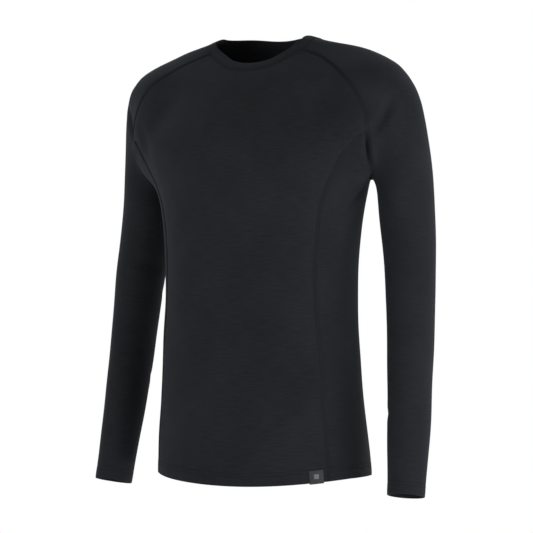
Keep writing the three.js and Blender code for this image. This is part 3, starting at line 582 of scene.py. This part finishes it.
def cloth_wall(name, grid, above, depth, stitches, closed, material):
    """A panel's mesh: an outer and an inner grid along the form's normals, joined round their edges.

    The UV map holds the real distances along the courses and the wales, in metres.
    """
    normal = unit(slope_at(grid))
    inwards, thick, round_in = hem_shape(above, depth, stitches)
    ripple = 0.14 * np.sin(grid[..., 0] * 0.55) * np.sin(grid[..., 1] * 0.47 + 1)
    ripple *= np.exp(-((above - depth * 0.8) / 14) ** 2)[:, None]
    outer = grid + normal * (relief(grid) + ripple - inwards[:, None])[..., None]
    inner = outer - normal * (thick - round_in)[:, None, None]
    rows, cols = grid.shape[:2]
    along = np.concatenate([outer, outer[:, :1]], 1) if closed else outer
    steps = np.linalg.norm(np.diff(along, axis=1), axis=2)
    u = np.concatenate([np.zeros((rows, 1)), np.cumsum(steps, axis=1)], 1)
    u = u - u[:, [u.shape[1] // 2]]
    v = np.cumsum(np.concatenate([np.zeros((1, cols)), np.linalg.norm(np.diff(outer, axis=0), axis=2)]), axis=0)
    v = np.concatenate([v, v[:, :1]], 1) if closed else v
    uv = np.stack([u, v], -1).reshape(-1, 2) * 0.001

    faces, corners = wall_faces(rows, cols, closed)
    turn = np.cross(outer[1, 1] - outer[1, 0], outer[2, 0] - outer[1, 0]) @ normal[1, 0]
    if turn < 0:
        faces, corners = faces[:, ::-1], corners[:, ::-1]
    points = np.concatenate([outer.reshape(-1, 3), inner.reshape(-1, 3)])
    piece = new_piece(name, points, faces, material, uv[corners.ravel()])
    return piece, outer, normal


def new_piece(name, points, faces, material, corner_uv=None):
    """A smooth mesh object from points in mm and faces of their numbers, which rides on the whole garment."""
    mesh = bpy.data.meshes.new(name)
    mesh.from_pydata((points * 0.001).tolist(), [], faces if isinstance(faces, list) else faces.tolist())
    if corner_uv is not None:
        mesh.uv_layers.new(name="cloth").data.foreach_set("uv", corner_uv.astype(np.float32).ravel())
    mesh.materials.append(material)
    mesh.shade_smooth()
    mesh.set_sharp_from_angle(angle=SHARP_EDGE)
    piece = bpy.data.objects.new(name, mesh)
    bpy.context.scene.collection.objects.link(piece)
    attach(piece, "root")
    return piece


left, right = seams_of(1), seams_of(-1)
body_above = np.concatenate([HEM_ROWS, HEM_DEPTH + 10 + np.arange(COUNTS["body"])])


def trunk_panel(name, face, degrees):
    """The front or the back: from the left side seam and raglan along the neck seam to those on the right."""
    up = left["raglan_" + face][: COUNTS["raglan"] + 1][::-1]
    down = right["raglan_" + face][: COUNTS["raglan"] + 1]
    neck = neck_seam(np.linspace(*degrees, 2 * COUNTS["half_neck"] + 1))[1:-1]
    top = np.concatenate([up, neck, down])
    bottom = hem_edge(left["side_" + face][0], right["side_" + face][0], len(top) - 1)
    grid = panel_grid(bottom, top, left["side_" + face], right["side_" + face])
    return cloth_wall(name, grid, body_above, HEM_DEPTH, HEM_STITCHES, False, jersey)


front_panel, front_outer, front_normal = trunk_panel(
    "front_panel", "front", (RAGLAN_FRONT_DEG, -RAGLAN_FRONT_DEG)
)
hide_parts("front")

# THE BACK. The same jersey and the same turned hem, with a shallower neck and straighter raglan edges.

back_panel, back_outer, _ = trunk_panel("back_panel", "back", (RAGLAN_BACK_DEG, 360 - RAGLAN_BACK_DEG))
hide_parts("back")

# THE SIDE PANELS. A narrow strip of jersey on each side, from the hem to the underarm, where it widens a little
# to give the arm room. They take the side seams off the hips.


def side_panel(name, seams):
    """A side panel between its two seams, with the two raglans' lower ends as its top edge."""
    front, back = seams["raglan_front"], seams["raglan_back"]
    top = np.concatenate([front[COUNTS["raglan"] :], back[COUNTS["raglan"] : -1][::-1]])
    bottom = hem_edge(seams["side_front"][0], seams["side_back"][0], len(top) - 1)
    grid = panel_grid(bottom, top, seams["side_front"], seams["side_back"])
    return cloth_wall(name, grid, body_above, HEM_DEPTH, HEM_STITCHES, False, jersey)


side_outer = {}
for side_name, seams in (("left", left), ("right", right)):
    piece, side_outer[side_name], _ = side_panel("side_gusset_" + side_name, seams)
    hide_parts("side_panel_" + side_name)

# THE SLEEVES. Each is one piece of jersey round the arm, and its upper end reaches over the shoulder to the neck.
# Its columns run along a middle line in the arm, and turn from even spacing at the cuff to the seams' own points.

CUFF_Z = -698
TURN_Z = -240  # above this the columns turn towards the seams' points
CUFF_DEPTH = 20
CUFF_ROWS = np.array([
    0, 0.15, 0.45, 0.9, 2.2, 4.2, 6.5, 9, 11.2, 13.4, 15.2, 17, 19, 19.8, 20.3, 21.4, 23,
])
CUFF_STITCHES = (13.4, 19.0)
ARM_HEIGHTS = (-750, -620, -500, -380, -280)  # the middle line runs through the arm's own middle here
SHOULDER_LINE = [(227, 31, -200), (209, 24, -130), (180, 16, -86), (136, 10, -62), (76, 6, -44)]
LINE_STEPS = 1200
ARM_REACH = 130  # mm; more than the sleeve's greatest width


def sleeve_directions(tangent, side):
    """The two directions square to a sleeve's middle line: towards the front and towards the outer side."""
    front = unit(np.array([0.0, -1.0, 0.0]) + tangent * tangent[..., 1:2])
    return front, np.cross(tangent, front) * side


def sleeve_grid(side, seams):
    """Rows of closed rings from the cuff up to the raglan seams and the neck seam."""
    neck = neck_seam(side * np.linspace(RAGLAN_FRONT_DEG, RAGLAN_BACK_DEG, COUNTS["shoulder_neck"] + 1))
    loop = np.concatenate([seams["raglan_front"][::-1], neck[1:], seams["raglan_back"][1:-1]])
    heights = np.array(ARM_HEIGHTS, float)
    arm_line = np.stack([arm_x(heights)[0], arm_y(heights)[0], heights], -1)
    line_shares = np.linspace(0, 1, LINE_STEPS + 1)
    line = at_shares(curve_through(np.vstack([arm_line, SHOULDER_LINE]) * [side, 1, 1]), line_shares)
    tangent = unit(np.gradient(line, axis=0))
    front, outer = sleeve_directions(tangent, side)
    length = np.linalg.norm(np.diff(line, axis=0), axis=1).sum()
    cuff, turning = [int(np.argmax(line[:, 2] > z)) / LINE_STEPS for z in (CUFF_Z, TURN_Z)]

    away = np.linalg.norm(loop[:, None] - line, axis=2)
    away[:, : int(turning * LINE_STEPS)] = np.inf
    nearest = away.argmin(1)
    from_line = loop - line[nearest]
    to_front, to_outer = (from_line * front[nearest]).sum(1), (from_line * outer[nearest]).sum(1)
    degrees = np.degrees(np.unwrap(np.arctan2(to_front, -to_outer)))
    even = degrees[0] + 360 * np.arange(len(loop)) / len(loop)
    top = nearest / LINE_STEPS

    low = cuff + CUFF_ROWS / length
    low = np.concatenate([low, np.linspace(low[-1], turning, COUNTS["arm"] + 1)[1:]])
    t = np.arange(1, COUNTS["shoulder"])[:, None] / COUNTS["shoulder"]
    shares = np.concatenate([np.repeat(low[:, None], len(loop), 1), turning + (top - turning) * t])
    turning_columns = even + (degrees - even) * np.sin(t * np.pi / 2)
    turns = np.concatenate([np.repeat(even[None], len(low), 0), turning_columns])
    start, way = [
        np.stack([np.interp(shares, line_shares, column[:, k]) for k in range(3)], -1) for column in (line, tangent)
    ]
    front, outer = sleeve_directions(unit(way), side)
    a = np.radians(turns)[..., None]
    rings = first_exit(outside, start, front * np.sin(a) - outer * np.cos(a), reach=ARM_REACH)
    above = np.concatenate([CUFF_ROWS, CUFF_DEPTH + 10 + np.arange(len(rings) + 1 - len(CUFF_ROWS))])
    return np.concatenate([rings, loop[None]]), above


sleeve_outer = {}
for side, side_name, seams in ((1, "left", left), (-1, "right", right)):
    grid, above = sleeve_grid(side, seams)
    piece, sleeve_outer[side_name], _ = cloth_wall(
        "raglan_sleeve_" + side_name, grid, above, CUFF_DEPTH, CUFF_STITCHES, True, jersey
    )
    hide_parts("sleeve_" + side_name)

# THE NECKBAND. A strip of the same jersey folded double lengthways and sewn on by its two raw edges, a little
# stretched so that it lies close. Its fold makes a soft rounded top edge.

BAND_HEIGHT = 15
BAND_WALL = 2.2  # both layers together
BAND_PROUD = 0.5  # how far its outer face stands out from the panels'


def band_section(count=13):
    """Height above the seam and distance from the cloth, up the outer face, over the round fold and down."""
    radius = BAND_WALL / 2
    rise = np.linspace(0, BAND_HEIGHT - radius, count)
    crown = 0.35 * np.sin(np.pi * rise / BAND_HEIGHT)
    turn = np.radians(np.linspace(0, 180, 9))[1:-1]
    up = np.concatenate([rise, BAND_HEIGHT - radius + radius * np.sin(turn), rise[::-1]])
    middle = BAND_PROUD - radius
    out = np.concatenate([BAND_PROUD + crown, middle + radius * np.cos(turn), middle - radius - crown[::-1] * 0.5])
    return up, out


def band_loop(count=280):
    """The neck seam as evenly spaced points, the normal there and the direction up the cloth."""
    loop = neck_seam(np.linspace(0, 360, 721))
    loop = on_form(at_shares(loop, np.arange(count) / count))
    normal = unit(slope_at(loop))
    up = unit(np.cross(normal, np.roll(loop, -1, 0) - np.roll(loop, 1, 0)))
    return loop, normal, up * np.sign(up[:, 2:])


def ring_piece(name, rows, uv_scale, material):
    """A closed mesh from rings of points: every row joins the next, and the last joins the first."""
    count, size = rows.shape[:2]
    i, j = [k.ravel() for k in np.meshgrid(np.arange(count), np.arange(size), indexing="ij")]
    corners = ((i, j), (i + 1, j), (i + 1, j + 1), (i, j + 1))
    faces = np.stack([k % count * size + m % size for k, m in corners], -1)
    points = rows.reshape(-1, 3)
    quad = points[faces[0]]
    if np.cross(quad[1] - quad[0], quad[3] - quad[0]) @ (quad.mean(0) - rows[0].mean(0)) < 0:
        faces = faces[:, ::-1]
        i_corner, j_corner = [i, i + 1, i + 1, i], [j + 1, j + 1, j, j]
    else:
        i_corner, j_corner = [i, i + 1, i + 1, i], [j, j, j + 1, j + 1]
    uv = np.stack([np.stack(i_corner, -1) * uv_scale[0], np.stack(j_corner, -1) * uv_scale[1]], -1)
    return new_piece(name, points, faces, material, uv.reshape(-1, 2) * 0.001)


band_jersey = knit_material("merino_jersey_folded", "#0e0f10", "#1d1e22")
neck_loop, neck_normal, neck_up = band_loop()
band_up, band_out = band_section()
band_base = on_form(neck_loop[:, None] + neck_up[:, None] * band_up[:, None])
band_points = band_base + unit(slope_at(band_base)) * (band_out + relief(neck_loop)[:, None])[..., None]
neck_band = ring_piece("crew_neckband", band_points, (1.6, 1.5), band_jersey)
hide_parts("neckband")

# THE FLATLOCK SEAMS. The raglan and side seams are flat: the two raw edges meet and a four-needle machine covers
# them on both sides with thread. From outside a seam is a low band of small stitches.

SEAM_PITCH = 2.6  # length of one stitch
SEAM_ENDS = 0.001  # share of a seam left free at each end


def thread_material(name, colour):
    """Textured polyester sewing thread: a little smoother than the knit, with its twist as a fine noise in tone and
    bump.
    """
    material, output = new_material(name)
    place = add_node(material, "ShaderNodeTexCoord").outputs["Object"]
    twist = add_node(material, "ShaderNodeTexNoise", {"Vector": place, "Scale": 1800.0, "Detail": 1.0}).outputs["Fac"]
    shade = add_node(material, "ShaderNodeMapRange", {0: twist, 1: 0.3, 2: 0.7, 3: 0.8, 4: 1.2}).outputs[0]
    tint = add_node(
        material,
        "ShaderNodeMix",
        {"Factor": 1.0, "A": linear(colour), "B": shade},
        data_type="RGBA",
        blend_type="MULTIPLY",
    )
    bump = add_node(material, "ShaderNodeBump", {"Strength": 0.3, "Distance": 0.0001, "Height": twist}).outputs[0]
    shader = add_node(
        material,
        "ShaderNodeBsdfPrincipled",
        {"Base Color": tint.outputs["Result"], "Roughness": 0.7, "Normal": bump, "Specular IOR Level": 0.12},
    )
    material.node_tree.links.new(shader.outputs[0], output.inputs[0])
    return material


def add_tube(job, rings, closed):
    """Adds a tube of rings to a job: a list of points and faces that becomes one mesh. Open ends get caps."""
    count, size = rings.shape[:2]
    first = job["size"]
    steps = count if closed else count - 1
    i, j = [k.ravel() for k in np.meshgrid(np.arange(steps), np.arange(size), indexing="ij")]
    corners = ((i, j), (i, j + 1), (i + 1, j + 1), (i + 1, j))
    faces = (np.stack([k % count * size + m % size for k, m in corners], -1) + first).tolist()
    if not closed:
        faces.append(list(range(first + size - 1, first - 1, -1)))
        faces.append(list(range(first + (count - 1) * size, first + count * size)))
    job["points"].append(rings.reshape(-1, 3))
    job["faces"] += faces
    job["size"] += count * size


def job_piece(name, job, material):
    """The mesh of a job."""
    return new_piece(name, np.concatenate(job["points"]), job["faces"], material)


def seam_lines(path):
    """A seam's path resampled at four points a stitch, with the direction across it in the cloth."""
    length = np.linalg.norm(np.diff(path, axis=0), axis=1).sum()
    count = int(length / SEAM_PITCH) * 4
    line = on_form(at_shares(path, np.linspace(SEAM_ENDS, 1 - SEAM_ENDS, count + 1)))
    normal = unit(slope_at(line))
    across = unit(np.cross(normal, np.gradient(line, axis=0)))
    return line, across


# The section of a seam's covered edges: distances across the seam and heights above the cloth.
SEAM_OFFSETS = np.array([-1.6, 1.6, 2.7, 2.5, 2.0, 1.1, 0.3, -0.3, -1.1, -2.0, -2.5, -2.7])
SEAM_HEIGHTS = np.array([-0.35, -0.35, -0.25, 0.12, 0.34, 0.36, 0.24, 0.24, 0.36, 0.34, 0.12, -0.25])
ROUND = np.radians(np.arange(5) * 72 + 18)  # the angles of a thread's five sides


def lay_thread(threads, path, normal, width, height, closed=False):
    """A thread along a path on the cloth: an oval of half a width and half a height, carried square to the path."""
    tangent = (np.roll(path, -1, 0) - np.roll(path, 1, 0)) if closed else np.gradient(path, axis=0)
    side = unit(np.cross(normal, tangent))
    offsets, heights = width * np.cos(ROUND)[:, None], height * np.sin(ROUND)[:, None]
    add_tube(threads, path[:, None] + side[:, None] * offsets + normal[:, None] * heights, closed)


def flatlock(band, threads, path):
    """One seam: a low band of covered edges, two outer rows of stitches and the zigzag thread over them."""
    line, across = seam_lines(path)
    base, normal = on_cloth(line[:, None] + across[:, None] * SEAM_OFFSETS[:, None])
    add_tube(band, base + normal * SEAM_HEIGHTS[:, None], False)
    phase = np.arange(len(line)) / 4
    for offset in (-2.1, 2.1):
        base, normal = on_cloth(line + across * offset)
        points = base + normal * (0.34 + 0.16 * np.abs(np.sin(np.pi * phase)))[:, None]
        lay_thread(threads, points, normal, 0.26, 0.2)
    zigzag = 1.9 * (2 * np.abs((phase % 1) * 2 - 1) - 1)
    base, normal = on_cloth(line + across * zigzag[:, None])
    lay_thread(threads, base + normal * 0.42, normal, 0.24, 0.18)


seam_band, seam_threads = ({"points": [], "faces": [], "size": 0} for _ in range(2))
for seams in (left, right):
    for name in ("raglan_front", "raglan_back", "side_front", "side_back"):
        flatlock(seam_band, seam_threads, seams[name])
black_thread = thread_material("polyester_thread_black", "#101113")
job_piece("flatlock_bands", seam_band, thread_material("flatlock_edge_black", "#1c1d1f"))
job_piece("flatlock_threads", seam_threads, black_thread)

# THE COVERSTITCH. Two rows of straight stitches hold the turned hem, the cuffs and the neck seam. Each stitch
# dips into the cloth at both ends.

STITCH_LENGTH = 2.8


def stitch_row(threads, line):
    """A row of straight stitches round a ring of points on the cloth: the thread rises as the root of a sine."""
    line = np.concatenate([line, line[:1]])
    length = np.linalg.norm(np.diff(line, axis=0), axis=1).sum()
    stitches = int(length / STITCH_LENGTH)
    path = at_shares(line, np.arange(stitches * 5) / (stitches * 5))
    normal = unit(slope_at(path))
    phase = np.arange(stitches * 5) / 5
    rise = 0.34 * np.sqrt(np.abs(np.sin(np.pi * phase))) - 0.12
    lay_thread(threads, path + normal * rise[:, None], normal, 0.24, 0.17, closed=True)


hem_threads = {"points": [], "faces": [], "size": 0}
for height in HEM_STITCHES:
    row = int(np.argmin(np.abs(HEM_ROWS - height)))
    stretches = [front_outer, side_outer["right"], back_outer[:, ::-1], side_outer["left"][:, ::-1]]
    stitch_row(hem_threads, np.concatenate([stretch[row, :-1] for stretch in stretches]))
for side_name in ("left", "right"):
    for height in CUFF_STITCHES:
        row = int(np.argmin(np.abs(CUFF_ROWS - height)))
        stitch_row(hem_threads, sleeve_outer[side_name][row])
for away, out in ((2.2, BAND_PROUD + 0.1), (-2.4, 0.05)):
    base, normal = on_cloth(neck_loop + neck_up * away)
    stitch_row(hem_threads, base + normal * out)
job_piece("coverstitch_threads", hem_threads, black_thread)

# THE HEM LABEL. A strip of satin-woven polyester tape folded over the front hem beside the left side seam: black,
# with a small woven lattice of diamonds in the middle of its outer half.

LABEL_SPAN = (9, 31)  # distances of its edges from the side seam, along the hem
LABEL_HEIGHT = 19
LABEL_INSIDE = 9
LABEL_THICK = 0.5
LABEL_ROW = 4  # the row of the hem that it is set out from, and a higher one that shows the way up
LABEL_UPPER_ROW = 12
RIB_PITCH = 0.0005  # metres, as the label's UV map
DIAMOND_PITCH = 0.0030
LATTICE_HALF = 0.0036
LATTICE_MIDDLE = 0.0098  # its height above the hem's edge


def label_material():
    """Woven polyester tape: fine ribs across it, black, with a small lattice of pale diamonds in its middle.

    The UV map runs in metres across and up the tape. The lattice is the distance between two slanted grids.
    """
    material, output = new_material("woven_label_tape")
    uv = add_node(material, "ShaderNodeUVMap", uv_map="cloth").outputs[0]
    split = add_node(material, "ShaderNodeSeparateXYZ", {0: uv})
    u, v = split.outputs[0], split.outputs[1]
    ribs = maths(material, "SINE", maths(material, "MULTIPLY", v, 2 * np.pi / RIB_PITCH), 0)
    slants = []
    for slant in ("ADD", "SUBTRACT"):
        along = maths(material, "MULTIPLY", maths(material, slant, u, v), 1 / DIAMOND_PITCH)
        slants.append(maths(material, "PINGPONG", along, 0.5))
    lattice = maths(material, "LESS_THAN", maths(material, "MINIMUM", *slants), 0.2)
    wide = maths(material, "LESS_THAN", maths(material, "ABSOLUTE", u), LATTICE_HALF)
    above_middle = maths(material, "SUBTRACT", v, LATTICE_MIDDLE)
    high = maths(material, "LESS_THAN", maths(material, "ABSOLUTE", above_middle), LATTICE_HALF)
    mark = maths(material, "MULTIPLY", lattice, maths(material, "MULTIPLY", wide, high))
    colour = add_node(
        material, "ShaderNodeMix", {"Factor": mark, "A": linear("#17181a"), "B": linear("#6f7073")}, data_type="RGBA"
    )
    bump = add_node(material, "ShaderNodeBump", {"Strength": 0.3, "Distance": 0.0001, "Height": ribs}).outputs[0]
    shader = add_node(
        material,
        "ShaderNodeBsdfPrincipled",
        {"Base Color": colour.outputs["Result"], "Roughness": 0.5, "Normal": bump, "Specular IOR Level": 0.4},
    )
    material.node_tree.links.new(shader.outputs[0], output.inputs[0])
    return material


def label_profile():
    """The tape's section down its outer face, round the hem's edge and up inside: height above the edge and
    distance from the outer face of the cloth."""
    out, back, turn = 0.25, -HEM_CLOTH - 0.35, np.radians(np.linspace(0, 180, 9))
    middle, radius = (out + back) / 2, (out - back) / 2
    down, up = np.linspace(LABEL_HEIGHT, 0, 14)[:-1], np.linspace(0, LABEL_INSIDE, 8)[1:]
    height = np.concatenate([down, -radius * np.sin(turn), up])
    away = np.concatenate([np.full(13, out), middle + radius * np.cos(turn), np.full(7, back)])
    return height, away


def tape(count=21):
    """The label as two layers of points: its profile is carried along the hem, and its other face lies outwards."""
    height, away = label_profile()
    edge = front_outer[LABEL_ROW]
    run = np.concatenate([[0], np.cumsum(np.linalg.norm(np.diff(edge, axis=0), axis=1))])
    at = np.linspace(*LABEL_SPAN, count)
    low, high, out = [
        np.stack([np.interp(at, run, line[:, k]) for k in range(3)], -1)
        for line in (edge, front_outer[LABEL_UPPER_ROW], unit(front_normal[LABEL_ROW]))
    ]
    up, out = unit(high - low), unit(out)
    along = unit(np.stack([np.gradient(away), np.gradient(height)], -1))
    layers = []
    for thick in (0.0, LABEL_THICK):
        h = height - HEM_ROWS[LABEL_ROW] + along[:, 0] * thick
        a = away - along[:, 1] * thick
        layers.append(low[:, None] + up[:, None] * h[:, None] + out[:, None] * a[:, None])
    return np.stack(layers), at, height


label_layers, label_at, label_height = tape()
rows, cols = label_layers.shape[1:3]
label_faces, label_corners = wall_faces(rows, cols, False)
label_across = (label_at - label_at.mean())[:, None]
label_uv = np.stack(np.broadcast_arrays(label_across, label_height), -1).reshape(-1, 2) * 0.001
hem_tape = new_piece(
    "hem_tape",
    label_layers.reshape(-1, 3),
    label_faces,
    label_material(),
    label_uv[label_corners.ravel()],
)
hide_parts("hem_label")

# THE STUDIO. A pale floor far below, as under a standing wearer, a white surround, and large soft lamps on both
# sides. The camera stands at the wearer's left front, level, about four metres away.


def stage_material():
    """Pale floor that runs out into the white of the surround with distance from the middle."""
    material, output = new_material("pale_floor")
    place = add_node(material, "ShaderNodeTexCoord").outputs["Object"]
    far = add_node(material, "ShaderNodeVectorMath", {0: place}, operation="LENGTH").outputs["Value"]
    fade = add_node(material, "ShaderNodeMapRange", {0: far, 1: 1.6, 2: 5.0}).outputs[0]
    floor = add_node(material, "ShaderNodeBsdfDiffuse", {"Color": linear("#eeeeee")}).outputs[0]
    white = add_node(material, "ShaderNodeEmission", {"Color": (1, 1, 1, 1), "Strength": 1.0}).outputs[0]
    mixed = add_node(material, "ShaderNodeMixShader", {0: fade, 1: floor, 2: white}).outputs[0]
    material.node_tree.links.new(mixed, output.inputs[0])
    return material


FLOOR_Z = -1.45
FLOOR_HALF = 60
floor_corners = [(x * FLOOR_HALF, y * FLOOR_HALF, FLOOR_Z) for x, y in ((-1, -1), (1, -1), (1, 1), (-1, 1))]
floor_mesh = bpy.data.meshes.new("studio_floor")
floor_mesh.from_pydata(floor_corners, [], [(0, 1, 2, 3)])
floor_mesh.materials.append(stage_material())
studio_floor = bpy.data.objects.new("studio_floor", floor_mesh)
bpy.context.scene.collection.objects.link(studio_floor)

SURROUND_LIGHT = 0.53  # the white surround's strength as a light; the camera sees it at full white
world = bpy.data.worlds.new("studio_white")
world.use_nodes = True
background = world.node_tree.nodes["Background"]
background.inputs[0].default_value = (1, 1, 1, 1)
seen = add_node(world, "ShaderNodeLightPath").outputs["Is Camera Ray"]
strength = add_node(world, "ShaderNodeMapRange", {0: seen, 3: SURROUND_LIGHT, 4: 1.0}).outputs[0]
world.node_tree.links.new(strength, background.inputs[1])
bpy.context.scene.world = world
bpy.context.scene.view_settings.view_transform = "Standard"

CAMERA_AZIMUTH = np.radians(30)
CAMERA_DISTANCE = 3.8
CAMERA_HEIGHT = -0.348
CAMERA_ASIDE = 0.004  # to the right of the garment's own middle
SENSOR = 36
PIXEL = 0.00159  # metres at the garment's middle for one of the photo's 533 pixels
PICTURE = 533

to_camera = np.array([np.sin(CAMERA_AZIMUTH), -np.cos(CAMERA_AZIMUTH), 0])
camera_right = np.array([np.cos(CAMERA_AZIMUTH), np.sin(CAMERA_AZIMUTH), 0])


def area_light(name, place, target, size, power):
    """A square lamp at a place, turned towards a target."""
    light = bpy.data.lights.new(name, "AREA")
    light.size = size
    light.energy = power
    lamp = bpy.data.objects.new(name, light)
    lamp.location = place
    way = np.array(target) - np.array(place)
    lamp.rotation_euler = (np.arccos(-way[2] / np.linalg.norm(way)), 0, np.arctan2(way[1], way[0]) - np.pi / 2)
    bpy.context.scene.collection.objects.link(lamp)


LAMP_SIZE = 1.8
LAMP_DROP = [0, 0, -1.0]
LAMP_TARGET = (0, 0, -0.5)
area_light("key_left", to_camera * 2.2 - camera_right * 2.2 + LAMP_DROP, LAMP_TARGET, LAMP_SIZE, 40)
area_light("fill_right", to_camera * 1.5 + camera_right * 2.0 + LAMP_DROP, LAMP_TARGET, LAMP_SIZE, 62)

camera_data = bpy.data.cameras.new("photo_camera")
camera_data.sensor_width = SENSOR
camera_data.lens = SENSOR * CAMERA_DISTANCE / (PIXEL * PICTURE)
camera = bpy.data.objects.new("photo_camera", camera_data)
camera.location = to_camera * CAMERA_DISTANCE + camera_right * CAMERA_ASIDE + [0, 0, CAMERA_HEIGHT]
camera.rotation_euler = (np.pi / 2, 0, CAMERA_AZIMUTH)
camera_data.clip_end = 200
bpy.context.scene.collection.objects.link(camera)
bpy.context.scene.camera = camera
